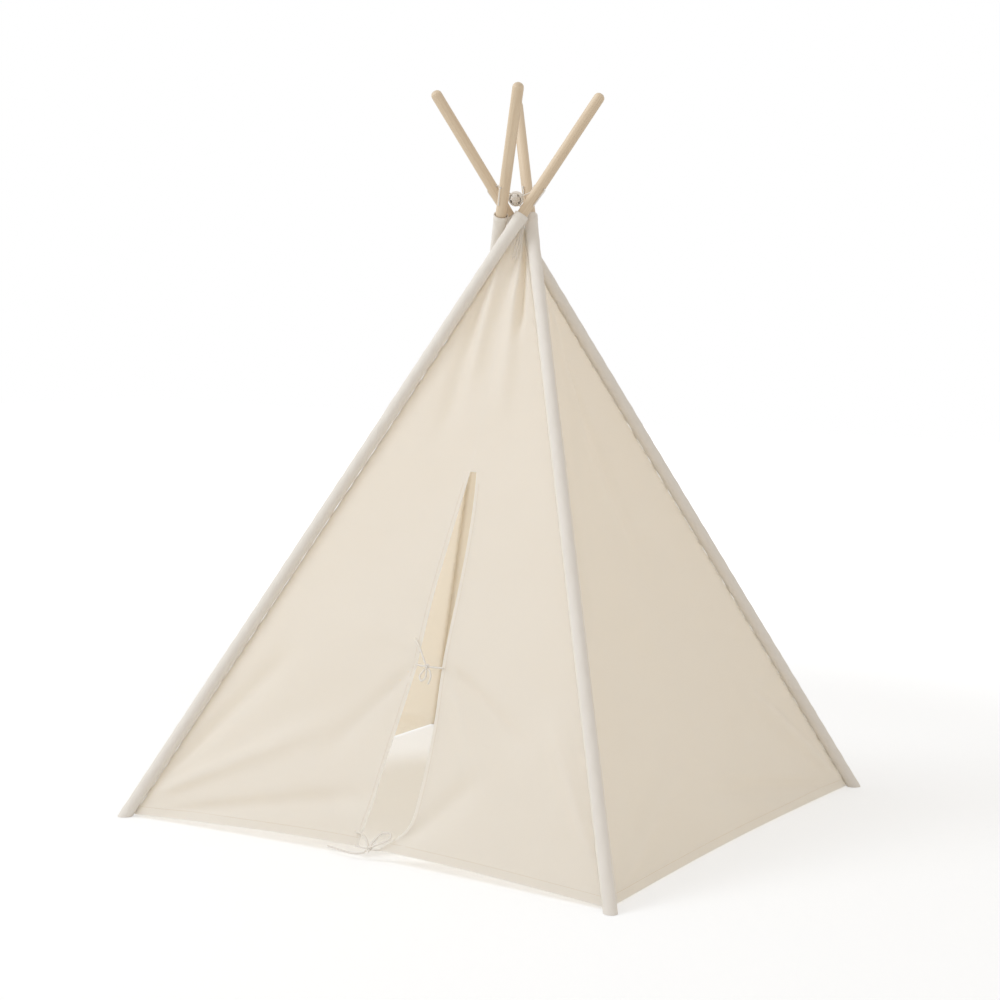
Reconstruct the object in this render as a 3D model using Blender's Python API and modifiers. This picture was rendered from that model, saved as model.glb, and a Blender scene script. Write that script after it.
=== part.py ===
"""A child's play teepee: four dowel poles in the corner pockets of a four-sided canvas cover, laced together
where they cross, with a slit door tied shut by two pairs of cotton ties.

Metres, +Z up. The origin is on the floor under the point where the poles cross. The door wall faces -Y.
Poles and walls are numbered anticlockwise from above: 0 front left, 1 front right, 2 back right, 3 back left.
Wall k hangs between pole k and the next one, so wall 0 is the front wall.
"""

from math import atan2, cos, hypot, pi, radians, sin, sqrt

import bmesh
import bpy
from mathutils import Matrix, Vector

# Frame
FOOT_SPACING = 1.22  # side of the square on which the pole axes meet the floor
CROSSING_HEIGHT = 1.327
CROSSING_OFFSET = 0.0349  # each pole axis passes the centre line this far off, all on the same hand
POLE_DIAMETER = 0.025
POLE_END_ROUND = 0.011
POLE_FOOT_ROUND = 0.002
JOINT_ALONG_POLE = 0.95  # where the two lengths of a pole meet, measured from the floor
DOWEL_DIAMETER = 0.008
DOWEL_LENGTH = 0.08
HOLE_ABOVE_CROSSING = 0.072
LACE_HOLE_DIAMETER = 0.0045
LACE_HOLE_TURN = 40  # degrees that a hole is turned outwards from the hinge's direction
POLE_ABOVE_HOLE = 0.2105  # height of the pole's top end above its lacing hole

# Canvas
CANVAS = 0.0012
POCKET_CLEARANCE = 0.0005  # between a pole and its pocket, all round
POCKET_CLOTH = 0.0016  # the pocket is two layers of canvas
POCKET_FLOOR = 0.002  # gathered canvas under the end of a pole
POCKET_ABOVE_CROSSING = 0.011
POCKET_MOUTH_DIAMETER = 0.033  # the open top of a pocket hangs wider than the pocket
POCKET_FLARE_LENGTH = 0.10
WALL_TOP_HEIGHT = 1.312
WALL_INSET = 0.008  # the wall is sewn to the inner half of the pocket
HEM_HEIGHT = 0.004
FRONT_HEM_LIFT = 0.018  # the front wall is drawn up between the poles, most at its hem
BELLY_DEPTH = 0.014  # the canvas sags inwards between the poles
GATHER_DEPTH = 0.0040
GATHER_COUNT = 3
GATHER_BAND = 0.34  # the gathers under the crossing run out this far below the wall's top
DRAPE_DEPTH = 0.006  # soft folds that fan out from the feet
DRAPE_REACH = 0.62
DRAPE_COUNT = 7

# Door
# The slit, at heights before the hem is drawn up: its left edge right of the middle, and its width.
SLIT_HEIGHTS = (1.312, 0.77, 0.712, 0.62, 0.50, 0.372, 0.246, 0.124, 0.053, 0)
SLIT_LEFTS = (0, 0.0245, 0.0222, 0.0183, 0.0160, 0.0205, 0.0150, 0.0075, 0.0030, -0.0010)
SLIT_WIDTHS = (0, 0.002, 0.0255, 0.047, 0.060, 0.065, 0.089, 0.108, 0.103, 0.046)
SLIT_START = 0.016  # the flaps begin this far below the top of the slit
FLAP_FOLD_FROM_FOOT = 0.11  # the flap's fold line meets the hem this far from the pole
TIE_DIAMETER = 0.004
UPPER_TIE_HEIGHT = 0.368
LOWER_TIE_HEIGHT = 0.006
TIE_KNOT_DIAMETER = 0.014
TIE_STANDOFF = 0.0085  # from the canvas to the middle of a knot
UPPER_KNOT_REACH = 0.032  # from the slit's left edge to the bow's knot
LOWER_KNOT_REACH = 0.034
TIE_ANCHOR = 0.006  # a tie is sewn this far in from the flap's edge

# Lacing
LACE_DIAMETER = 0.003
LACE_KNOT_DIAMETER = 0.035
KNOT_ABOVE_CROSSING = 0.048
STRAND_RUN = 0.018  # the strand comes up along its pole for this length before its hole
STRAND_END = 0.044  # and goes down the pole's far side for this length after it
TAIL_RISES = (0.008, -0.022, -0.052, -0.087)  # heights from the crossing
TAIL_SPACINGS = (0.0038, 0.0045, 0.006, 0.0072)  # between the two loose ends, at those heights
TAIL_STANDOFF = 0.0075  # from the canvas
TAIL_LEAVE_SHARES = ((0.6, -0.2, -0.75), (0.6, 0.2, -0.75))  # ways in which the ends leave the knot

GAP = 0.0003
OVERRUN = 0.05
ROUND_STEPS = 24
TUBE_POINTS = 28

CORNERS = ("front_left", "front_right", "back_right", "back_left")
WALLS = ("front", "right", "back", "left")
WOOD = ((0.74, 0.53, 0.34), 0.55)
CLOTH = ((0.83, 0.77, 0.70), 0.95)
CORD = ((0.80, 0.74, 0.66), 0.9)
STEEL = ((0.60, 0.60, 0.62), 0.35)

for old in list(bpy.data.objects):
    bpy.data.objects.remove(old, do_unlink=True)
parts = bpy.data.collections.new("kids_teepee")
cutters = bpy.data.collections.new("cutters")
for group in (parts, cutters):
    bpy.context.scene.collection.children.link(group)


def add(name, data, finish, place=None):
    """A named sub-part with its own material, shaded smooth away from its real edges."""
    if data.name != name:
        data.name = name
    part = bpy.data.objects.new(name, data)
    parts.objects.link(part)
    colour, roughness = finish
    material = bpy.data.materials.new(name)
    material.use_nodes = True
    shader = material.node_tree.nodes["Principled BSDF"]
    shader.inputs["Base Color"].default_value = (*colour, 1)
    shader.inputs["Roughness"].default_value = roughness
    data.materials.append(material)
    if place is not None:
        part.matrix_world = place
    return part


def turned(name, profile, finish, place):
    """A solid of revolution about local Z. The profile's outer side runs from top to bottom."""
    mesh = bpy.data.meshes.new(name)
    mesh.from_pydata([(r, 0, z) for r, z in profile], [(i, i + 1) for i in range(len(profile) - 1)], [])
    part = add(name, mesh, finish, place)
    screw = part.modifiers.new("turn", "SCREW")
    screw.steps = screw.render_steps = ROUND_STEPS
    screw.use_merge_vertices = True
    screw.merge_threshold = GAP / 10
    screw.use_smooth_shade = False
    return part


def cut(part, cutter):
    """Takes the cutter's shape out of a part."""
    tool = part.modifiers.new("cut", "BOOLEAN")
    tool.operation = "DIFFERENCE"
    tool.object = cutter
    cutter.hide_render = True
    cutter.display_type = "WIRE"


def smooth_route(corners, count):
    """Evenly spaced points on a smooth curve through the route's own points."""
    ends = [corners[0] * 2 - corners[1], *corners, corners[-1] * 2 - corners[-2]]
    fine = []
    for a, b, c, d in zip(ends, ends[1:], ends[2:], ends[3:]):
        for step in range(TUBE_POINTS):
            t = step / TUBE_POINTS
            fine.append(((b * 2) + (c - a) * t + (a * 2 - b * 5 + c * 4 - d) * t**2
                         + (b * 3 - a - c * 3 + d) * t**3) / 2)
    fine.append(corners[-1].copy())
    along = [0]
    for p, q in zip(fine, fine[1:]):
        along.append(along[-1] + (q - p).length)
    route, i = [], 0
    for step in range(count):
        want = along[-1] * step / (count - 1)
        while i < len(fine) - 2 and along[i + 1] < want:
            i += 1
        route.append(fine[i].lerp(fine[i + 1], (want - along[i]) / (along[i + 1] - along[i])))
    return route


def tube(name, corners, diameter, finish, count=TUBE_POINTS):
    """A cord along a smooth route."""
    curve = bpy.data.curves.new(name, "CURVE")
    curve.dimensions = "3D"
    curve.bevel_depth = diameter / 2
    curve.bevel_resolution = 2
    curve.use_fill_caps = True
    spline = curve.splines.new("POLY")
    route = smooth_route([Vector(c) for c in corners], count)
    spline.points.add(len(route) - 1)
    for point, place in zip(spline.points, route):
        point.co = (*place, 1)
    return add(name, curve, finish)


def ball(name, centre, diameter, finish):
    """A knot, drawn as the ball that it fills."""
    mesh = bpy.data.meshes.new(name)
    shape = bmesh.new()
    bmesh.ops.create_uvsphere(shape, u_segments=16, v_segments=10, radius=diameter / 2)
    shape.to_mesh(mesh)
    shape.free()
    mesh.shade_smooth()
    return add(name, mesh, finish, Matrix.Translation(centre))


def leave_knot(centre, toward, knot_diameter, diameter):
    """The first two points of a cord that leaves a knot square to its surface."""
    way = (toward - centre).normalized()
    start = centre + way * (knot_diameter / 2 + GAP)
    return [start, start + way * diameter]


# The pole axes. A pole leans in its own upright plane, which passes the centre line at CROSSING_OFFSET.
half_diagonal = FOOT_SPACING / sqrt(2)
plane_reach = sqrt(half_diagonal**2 - CROSSING_OFFSET**2)
plane_turn = atan2(CROSSING_OFFSET, plane_reach)
lean = atan2(plane_reach, CROSSING_HEIGHT)
pocket_radius = POLE_DIAMETER / 2 + POCKET_CLEARANCE + POCKET_CLOTH
pocket_top_height = CROSSING_HEIGHT + POCKET_ABOVE_CROSSING
lace_hole_height = CROSSING_HEIGHT + HOLE_ABOVE_CROSSING


class Pole:
    """One corner's axis, with its local frame: X outwards, Y along the hinge, Z up the pole."""

    def __init__(self, number):
        azimuth = radians(225 + 90 * number) - plane_turn
        radial = Vector((cos(azimuth), sin(azimuth), 0))
        self.hinge = Vector((-sin(azimuth), cos(azimuth), 0))
        self.crossing = self.hinge * CROSSING_OFFSET + Vector((0, 0, CROSSING_HEIGHT))
        self.foot = self.hinge * CROSSING_OFFSET + radial * plane_reach
        self.up = (self.crossing - self.foot).normalized()
        self.out = self.hinge.cross(self.up)
        turn = radians(LACE_HOLE_TURN)
        self.hole_way = self.out * sin(turn) - self.hinge * cos(turn)
        turn = Matrix((self.out, self.hinge, self.up)).transposed()
        self.frame = Matrix.Translation(self.foot) @ turn.to_4x4()

    def at_height(self, z):
        return self.foot + self.up * (z / self.up.z)


poles = [Pole(number) for number in range(len(CORNERS))]


def along(height):
    """The distance up a pole to a height above the floor."""
    return height / cos(lean)


# Poles: two lengths joined by a steel dowel inside the pocket, with a lacing hole above the crossing.
pole_radius = POLE_DIAMETER / 2
dowel_radius = DOWEL_DIAMETER / 2
pocket_bore_foot = (POCKET_FLOOR + (pole_radius + POCKET_CLEARANCE) * sin(lean)) / cos(lean)
pole_foot = pocket_bore_foot + GAP
pole_head = along(lace_hole_height + POLE_ABOVE_HOLE)
ROUND_ENDS = 4


def rounded_corner(top, turn_share):
    """A point of the quarter round at the pole's top end, from its flat to its side."""
    angle = pi / 2 * turn_share
    return (pole_radius - POLE_END_ROUND * (1 - sin(angle)), top - POLE_END_ROUND * (1 - cos(angle)))


for corner, pole in zip(CORNERS, poles):
    bore = dowel_radius + GAP
    lower = [(0, JOINT_ALONG_POLE - DOWEL_LENGTH / 2 - GAP), (bore, JOINT_ALONG_POLE - DOWEL_LENGTH / 2 - GAP),
             (bore, JOINT_ALONG_POLE), (pole_radius, JOINT_ALONG_POLE),
             (pole_radius, pole_foot + POLE_FOOT_ROUND), (pole_radius - POLE_FOOT_ROUND, pole_foot),
             (0, pole_foot)]
    turned(f"pole_lower_{corner}", lower, WOOD, pole.frame)
    start = JOINT_ALONG_POLE + GAP
    upper = [(0, pole_head)]
    upper += [rounded_corner(pole_head, i / ROUND_ENDS) for i in range(ROUND_ENDS + 1)]
    upper += [(pole_radius, start), (bore, start), (bore, JOINT_ALONG_POLE + DOWEL_LENGTH / 2 + GAP),
              (0, JOINT_ALONG_POLE + DOWEL_LENGTH / 2 + GAP)]
    top = turned(f"pole_upper_{corner}", upper, WOOD, pole.frame)
    pin = [(0, JOINT_ALONG_POLE + DOWEL_LENGTH / 2), (dowel_radius, JOINT_ALONG_POLE + DOWEL_LENGTH / 2),
           (dowel_radius, JOINT_ALONG_POLE - DOWEL_LENGTH / 2), (0, JOINT_ALONG_POLE - DOWEL_LENGTH / 2)]
    turned(f"pole_dowel_{corner}", pin, STEEL, pole.frame)
    drill_mesh = bpy.data.meshes.new("lace_drill")
    drill = bmesh.new()
    bmesh.ops.create_cone(drill, cap_ends=True, segments=16, radius1=LACE_HOLE_DIAMETER / 2,
                          radius2=LACE_HOLE_DIAMETER / 2, depth=POLE_DIAMETER + OVERRUN)
    drill.to_mesh(drill_mesh)
    drill.free()
    drill_object = bpy.data.objects.new(f"lace_drill_{corner}", drill_mesh)
    cutters.objects.link(drill_object)
    drill_object.matrix_world = (pole.frame @ Matrix.Translation((0, 0, along(lace_hole_height)))
                                 @ Matrix.Rotation(radians(LACE_HOLE_TURN), 4, "Z")
                                 @ Matrix.Rotation(pi / 2, 4, "X"))
    cut(top, drill_object)

# Corner pockets: closed and cut level at the floor, loose and open above the crossing.
floor_mesh = bpy.data.meshes.new("floor_cut")
floor_shape = bmesh.new()
bmesh.ops.create_cube(floor_shape, size=1)
bmesh.ops.scale(floor_shape, vec=(FOOT_SPACING * 2, FOOT_SPACING * 2, OVERRUN), verts=floor_shape.verts)
floor_shape.to_mesh(floor_mesh)
floor_shape.free()
floor_cut = bpy.data.objects.new("floor_cut", floor_mesh)
floor_cut.location.z = -OVERRUN / 2
cutters.objects.link(floor_cut)
FLARE_RINGS = 5
for corner, pole in zip(CORNERS, poles):
    top = along(pocket_top_height)
    flare = [i / FLARE_RINGS for i in range(FLARE_RINGS + 1)]
    spread = POCKET_MOUTH_DIAMETER / 2 - pocket_radius
    outer = [(pocket_radius + spread * f * f, top - POCKET_FLARE_LENGTH * (1 - f)) for f in reversed(flare)]
    inner = [(r - POCKET_CLOTH, z) for r, z in reversed(outer)]
    bottom = -pocket_radius * sin(lean) / cos(lean) - POCKET_FLOOR
    profile = [(0, pocket_bore_foot), (pocket_radius - POCKET_CLOTH, pocket_bore_foot), *inner, *outer,
               (pocket_radius, bottom), (0, bottom)]
    cut(turned(f"pocket_{corner}", profile, CLOTH, pole.frame), floor_cut)


# Canvas walls
def ease(t):
    """A smooth step from 0 to 1."""
    t = min(1, max(0, t))
    return t * t * (3 - 2 * t)


def wall_width(k, z):
    return (poles[(k + 1) % 4].at_height(z) - poles[k].at_height(z)).length


def edge_share(k, z):
    """How much of the wall's width the pocket takes at each side."""
    across = (poles[(k + 1) % 4].at_height(z) - poles[k].at_height(z)).normalized()
    reach = sqrt((pocket_radius + CANVAS)**2 - WALL_INSET**2)
    flare = POCKET_MOUTH_DIAMETER / 2 - pocket_radius
    reach += flare * max(0, 1 - (pocket_top_height - z) / (POCKET_FLARE_LENGTH * cos(lean)))**2
    return reach / across.cross(poles[k].up).length / wall_width(k, z)


def wall_frame(k, share, z):
    """The point of a wall that hangs flat, its outward direction and its slope per metre of height."""
    left, right = poles[k].at_height(z), poles[(k + 1) % 4].at_height(z)
    rise = (poles[k].up / poles[k].up.z).lerp(poles[(k + 1) % 4].up / poles[(k + 1) % 4].up.z, share)
    outward = (right - left).cross(rise).normalized()
    return left.lerp(right, share) - outward * WALL_INSET, outward, rise


def drape(k, share, z):
    """How far the canvas stands out from flat: belly, gathers under the crossing and folds from the feet."""
    middle = sin(pi * min(1, max(0, share)))
    belly = -BELLY_DEPTH * middle * (1 - ease((z - CROSSING_HEIGHT / 2) / (CROSSING_HEIGHT / 2)))
    fade = ease(1 - (WALL_TOP_HEIGHT - z) / GATHER_BAND)
    gathers = GATHER_DEPTH * fade * cos(GATHER_COUNT * 2 * pi * share) * middle**4
    width = wall_width(k, z)
    folds = 0
    for x in (share * width, (1 - share) * width):
        reach = hypot(x, z)
        angle = atan2(z, x)
        window = ease(reach / (DRAPE_REACH / 3)) * ease(2 - 2 * reach / DRAPE_REACH)
        folds += DRAPE_DEPTH * window * sin(DRAPE_COUNT * angle + k) * sin(2 * angle)
    return belly + gathers + folds * middle


def on_wall(k, share, z, off=0):
    """A point at height z on the draped canvas, off metres in front of it."""
    flat, outward, rise = wall_frame(k, share, z)
    place = flat + outward * (drape(k, share, z) + off)
    return place + rise * (z - place.z)


def panel(name, chart, columns, rows):
    """A canvas panel: chart(across, up) gives its point for shares of its width and height."""
    mesh = bpy.data.meshes.new(name)
    grid = bmesh.new()
    bmesh.ops.create_grid(grid, x_segments=columns, y_segments=rows, size=0.5)
    for vertex in grid.verts:
        vertex.co = chart(vertex.co.x + 0.5, vertex.co.y + 0.5)
    grid.to_mesh(mesh)
    grid.free()
    mesh.shade_smooth()
    part = add(name, mesh, CLOTH)
    thick = part.modifiers.new("canvas", "SOLIDIFY")
    thick.thickness = CANVAS
    thick.offset = 0
    return part


def half_wall(k, side):
    """Half of a plain wall, from the pocket to the wall's middle line."""

    def chart(across, up):
        z = HEM_HEIGHT + (WALL_TOP_HEIGHT - HEM_HEIGHT) * up
        edge = edge_share(k, z)
        inner = 0.5 - GAP / wall_width(k, z)
        share = edge + (inner - edge) * across
        if side == "right":
            share = 1 - edge - (inner - edge) * (1 - across)
        return on_wall(k, share, z)

    return chart


PLAIN_COLUMNS, PLAIN_ROWS = 9, 17
for k, wall in enumerate(WALLS):
    if k == 0:
        continue
    for side in ("left", "right"):
        panel(f"{wall}_wall_{side}_half", half_wall(k, side), PLAIN_COLUMNS, PLAIN_ROWS)


# The front wall: each half has a door flap that folds out along a line from the slit's top to the hem.
def across_share(x, z):
    """The share of the front wall's width at x metres right of its middle."""
    return 0.5 + x / wall_width(0, z)


def through(z, heights, values):
    """The value at height z of a smooth curve through a table of falling heights."""
    last = len(heights) - 1
    i = max(j for j in range(last) if heights[j] >= z or j == 0)
    span = heights[i + 1] - heights[i]
    t = (z - heights[i]) / span
    slopes = [(values[min(j + 1, last)] - values[max(j - 1, 0)]) * span
              / (heights[min(j + 1, last)] - heights[max(j - 1, 0)]) for j in (i, i + 1)]
    return (values[i] + (values[i + 1] - values[i]) * ease(t) + slopes[0] * t * (1 - t)**2
            - slopes[1] * t * t * (1 - t))


slit_top = SLIT_HEIGHTS[1]


def slit_x(z):
    """The slit's left edge, and above the slit the seam that joins the two front panels."""
    if z >= slit_top:
        return SLIT_LEFTS[1] * (SLIT_HEIGHTS[0] - z) / (SLIT_HEIGHTS[0] - slit_top)
    return through(z, SLIT_HEIGHTS[1:], SLIT_LEFTS[1:])


def slit_width(z):
    """How far the right flap's edge hangs from the left one's."""
    if z >= slit_top:
        return 0
    return through(z, SLIT_HEIGHTS[1:], SLIT_WIDTHS[1:])


def fold_x(side, z):
    """The fold line's place at a height: straight from the slit's top to the hem near the pole."""
    rise = min(1, max(0, (z - HEM_HEIGHT) / (slit_top - HEM_HEIGHT)))
    foot_x = wall_width(0, HEM_HEIGHT) / 2 - FLAP_FOLD_FROM_FOOT
    if side == "left":
        foot_x = -foot_x
    return foot_x + (SLIT_LEFTS[1] - foot_x) * rise


def front_place(x, z, off=0):
    """A point of the front wall, x metres right of its middle; z is its height before the hem's lift."""
    share = across_share(x, z)
    lift = FRONT_HEM_LIFT * sin(pi * share) * (1 - z / WALL_TOP_HEIGHT)
    return on_wall(0, share, z + lift, off)


def front_half(side):
    """A front panel above its fold line."""
    sign = 1 if side == "left" else -1

    def chart(across, up):
        z = HEM_HEIGHT + (WALL_TOP_HEIGHT - HEM_HEIGHT) * up
        inner = (fold_x(side, z) if z < slit_top else slit_x(z)) - sign * GAP
        edge = sign * (edge_share(0, z) - 0.5) * wall_width(0, z)
        t = across if side == "left" else 1 - across
        return front_place(edge + (inner - edge) * t, z)

    return chart


def door_flap(side):
    """A door flap, between its fold line and the slit."""
    sign = 1 if side == "left" else -1

    def chart(across, up):
        z = HEM_HEIGHT + (slit_top - SLIT_START - HEM_HEIGHT) * up
        outer = fold_x(side, z) + sign * GAP * 2
        free = slit_x(z) - GAP if side == "left" else slit_x(z) + slit_width(z) + GAP
        t = across if side == "left" else 1 - across
        return front_place(outer + (free - outer) * t, z)

    return chart


FRONT_COLUMNS, FRONT_ROWS = 9, 20
FLAP_COLUMNS, FLAP_ROWS = 11, 12
for side in ("left", "right"):
    panel(f"front_wall_{side}_half", front_half(side), FRONT_COLUMNS, FRONT_ROWS)
    panel(f"door_flap_{side}", door_flap(side), FLAP_COLUMNS, FLAP_ROWS)


# Lacing: a strand from each pole's hole, all gathered in one knot between the poles, and two loose ends.
knot_centre = Vector((0, 0, CROSSING_HEIGHT + KNOT_ABOVE_CROSSING))
ball("lacing_knot", knot_centre, LACE_KNOT_DIAMETER, CORD)
for corner, pole in zip(CORNERS, poles):
    hole = pole.at_height(lace_hole_height)
    way, near, far = pole.hole_way, pole_radius + LACE_DIAMETER / 2 + GAP, pole_radius + LACE_DIAMETER * 1.5
    beside = hole + way * (pole_radius + LACE_DIAMETER) - pole.up * STRAND_RUN
    bore_run = [beside, hole + way * far, hole + way * pole_radius, hole, hole - way * pole_radius,
                hole - way * far]
    for share in (0.35, 0.7, 1):
        bore_run.append(hole - way * (far + (near - far) * share) - pole.up * STRAND_END * share)
    leave = leave_knot(knot_centre, beside, LACE_KNOT_DIAMETER, LACE_DIAMETER)
    tube(f"lacing_strand_{corner}", [*leave, *bore_run], LACE_DIAMETER, CORD)
for number in (0, 1):
    toward = knot_centre + Vector(TAIL_LEAVE_SHARES[number])
    route = leave_knot(knot_centre, toward, LACE_KNOT_DIAMETER, LACE_DIAMETER)
    for above, spacing in zip(TAIL_RISES, TAIL_SPACINGS):
        z = CROSSING_HEIGHT + above
        flat, outward, rise = wall_frame(0, 0.5, z)
        across = (poles[1].at_height(z) - poles[0].at_height(z)).normalized()
        place = flat + outward * TAIL_STANDOFF + across * spacing * (number - 0.5)
        route.append(place + rise * (z - place.z))
    tube(f"lacing_tail_{('left', 'right')[number]}", route, LACE_DIAMETER, CORD)

# Door ties: one pair at hand height, tied in a bow, and one pair at the corners of the hem.
cord_reach = CANVAS / 2 + TIE_DIAMETER / 2 + GAP


def tie_point(x, z, off=TIE_STANDOFF):
    """A point off metres in front of the front wall, x metres right of the slit's left edge."""
    return front_place(slit_x(z) + x, z, off)


def from_knot(knot, x, z):
    """The first two points of a tie that leaves its knot towards (x, z)."""
    return leave_knot(tie_point(*knot), tie_point(x, z), TIE_KNOT_DIAMETER, TIE_DIAMETER)


upper_knot = (UPPER_KNOT_REACH, UPPER_TIE_HEIGHT)
lower_knot = (LOWER_KNOT_REACH, LOWER_TIE_HEIGHT)
# Each route holds places right of its knot and above it, in tie diameters.
TIE_ROUTE_SHARES = {
    "upper_tie_loop": (upper_knot, ((-1.9, -3.2), (-2.7, -5.4), (-0.8, -7.4), (1.0, -5.6), (0.8, -3.2))),
    "upper_tie_end_long": (upper_knot, ((-2.6, 2.8), (-6.2, 7.4), (-11.5, 13.4))),
    "upper_tie_end_short": (upper_knot, ((2.8, -2.2), (4.2, -5.0), (3.8, -8.6))),
    "lower_tie_end_long": (lower_knot, ((-3.2, -2.4), (-9, -3.4), (-17, -3.0), (-26, -2.1))),
    "lower_tie_end_short": (lower_knot, ((-3.0, 3.6), (-6.5, 6.0), (-12.3, 7.0))),
    "lower_tie_loop": (lower_knot, ((0.9, 3.4), (4.6, 8.2), (10.2, 8.8), (9.6, 5.6), (3.4, 2.4))),
}
for name, (knot, places) in TIE_ROUTE_SHARES.items():
    route = [(knot[0] + x * TIE_DIAMETER, knot[1] + z * TIE_DIAMETER) for x, z in places]
    corners = [*from_knot(knot, *route[0]), *(tie_point(*place) for place in route)]
    if "loop" in name:
        corners += reversed(from_knot(knot, *route[-1]))
    tube(name, corners, TIE_DIAMETER, CORD)
for name, knot in (("upper_tie", upper_knot), ("lower_tie", lower_knot)):
    ball(f"{name}_knot", tie_point(*knot), TIE_KNOT_DIAMETER, CORD)
    z = knot[1]
    for side, x in (("left", -TIE_ANCHOR), ("right", slit_width(z) + TIE_ANCHOR)):
        sewn = tie_point(x, z, cord_reach)
        tube(f"{name}_{side}", [sewn, *reversed(from_knot(knot, x, z))], TIE_DIAMETER, CORD, 8)
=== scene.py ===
"""A child's play teepee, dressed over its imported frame: pine poles, a sewn canvas cover and cotton cords.

Metres, +Z up. The door wall faces -Y. Poles and walls are numbered anticlockwise, seen from above, from the
front left pole and the front wall.
"""

from math import atan2, ceil, cos, hypot, pi, radians, sin, sqrt

import bmesh
import bpy
import numpy as np
from mathutils import Matrix, Vector


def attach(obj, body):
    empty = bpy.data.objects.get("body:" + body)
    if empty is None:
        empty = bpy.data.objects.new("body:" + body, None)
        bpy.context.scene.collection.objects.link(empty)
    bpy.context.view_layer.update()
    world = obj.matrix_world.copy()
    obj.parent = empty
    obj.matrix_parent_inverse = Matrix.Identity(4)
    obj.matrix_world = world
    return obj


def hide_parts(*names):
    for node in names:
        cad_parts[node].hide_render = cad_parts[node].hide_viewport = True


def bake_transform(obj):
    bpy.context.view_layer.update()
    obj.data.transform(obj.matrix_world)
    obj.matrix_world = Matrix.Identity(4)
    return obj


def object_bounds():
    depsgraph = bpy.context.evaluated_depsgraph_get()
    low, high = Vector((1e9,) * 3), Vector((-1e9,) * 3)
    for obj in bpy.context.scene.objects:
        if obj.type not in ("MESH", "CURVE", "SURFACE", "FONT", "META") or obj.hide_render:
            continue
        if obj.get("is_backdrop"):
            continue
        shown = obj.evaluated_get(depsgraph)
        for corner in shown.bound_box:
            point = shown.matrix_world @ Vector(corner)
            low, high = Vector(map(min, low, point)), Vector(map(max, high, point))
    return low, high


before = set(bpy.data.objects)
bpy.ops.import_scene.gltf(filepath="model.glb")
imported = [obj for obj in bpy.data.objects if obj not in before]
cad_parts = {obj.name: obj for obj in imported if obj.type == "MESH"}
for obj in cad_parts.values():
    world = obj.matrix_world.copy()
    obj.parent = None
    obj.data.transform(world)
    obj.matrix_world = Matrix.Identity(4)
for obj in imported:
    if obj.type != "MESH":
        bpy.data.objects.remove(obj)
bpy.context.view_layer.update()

# Poles
# Four turned pine poles, each in two lengths pushed onto a steel pin inside its pocket. Their top ends
# are round, and each is drilled for the lacing above the crossing. The turned solids stay as they are and
# get their wood here.
FOOT_SPACING = 1.22
CROSSING_HEIGHT = 1.327
CROSSING_OFFSET = 0.0349
POLE_DIAMETER = 0.025
POLE_TOP_HEIGHT = 1.6095
LACE_HOLE_HEIGHT = 1.399
LACE_HOLE_TURN = 40
CORNERS = ("front_left", "front_right", "back_right", "back_left")
half_diagonal = FOOT_SPACING / sqrt(2)
plane_reach = sqrt(half_diagonal**2 - CROSSING_OFFSET**2)
plane_turn = atan2(CROSSING_OFFSET, plane_reach)
lean = atan2(plane_reach, CROSSING_HEIGHT)


class Pole:
    """One pole's axis, with its own directions: out, along its hinge, and up the pole."""

    def __init__(self, number):
        azimuth = radians(225 + 90 * number) - plane_turn
        radial = Vector((cos(azimuth), sin(azimuth), 0))
        self.hinge = Vector((-sin(azimuth), cos(azimuth), 0))
        self.crossing = self.hinge * CROSSING_OFFSET + Vector((0, 0, CROSSING_HEIGHT))
        self.foot = self.hinge * CROSSING_OFFSET + radial * plane_reach
        self.up = (self.crossing - self.foot).normalized()
        self.out = self.hinge.cross(self.up)
        turn = radians(LACE_HOLE_TURN)
        self.hole_way = self.out * sin(turn) - self.hinge * cos(turn)

    def at_height(self, z):
        return self.foot + self.up * (z / self.up.z)

    def ring(self, along, radius, angle):
        """A point round the pole: angle 0 faces out, a quarter turn faces along the hinge."""
        return self.foot + self.up * along + (self.out * cos(angle) + self.hinge * sin(angle)) * radius


poles = [Pole(number) for number in range(4)]


class Wire:
    """A shader socket that takes Python's arithmetic."""

    def __init__(self, finish, socket):
        self.finish, self.socket = finish, socket

    def maths(self, operation, *values):
        return self.finish.node("Math", {"operation": operation}, dict(enumerate(values)))

    def __add__(self, other):
        return self.maths("ADD", self, other)

    __radd__ = __add__

    def __sub__(self, other):
        return self.maths("SUBTRACT", self, other)

    def __mul__(self, other):
        return self.maths("MULTIPLY", self, other)

    __rmul__ = __mul__

    def __pow__(self, power):
        return self.maths("POWER", self, power)

    def wave(self):
        return self.maths("SINE", self)

    def step(self, low, high):
        """0 below low, 1 above high, smooth between."""
        return self.finish.node("MapRange", {"interpolation_type": "SMOOTHSTEP"}, {0: self, 1: low, 2: high})


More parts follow.
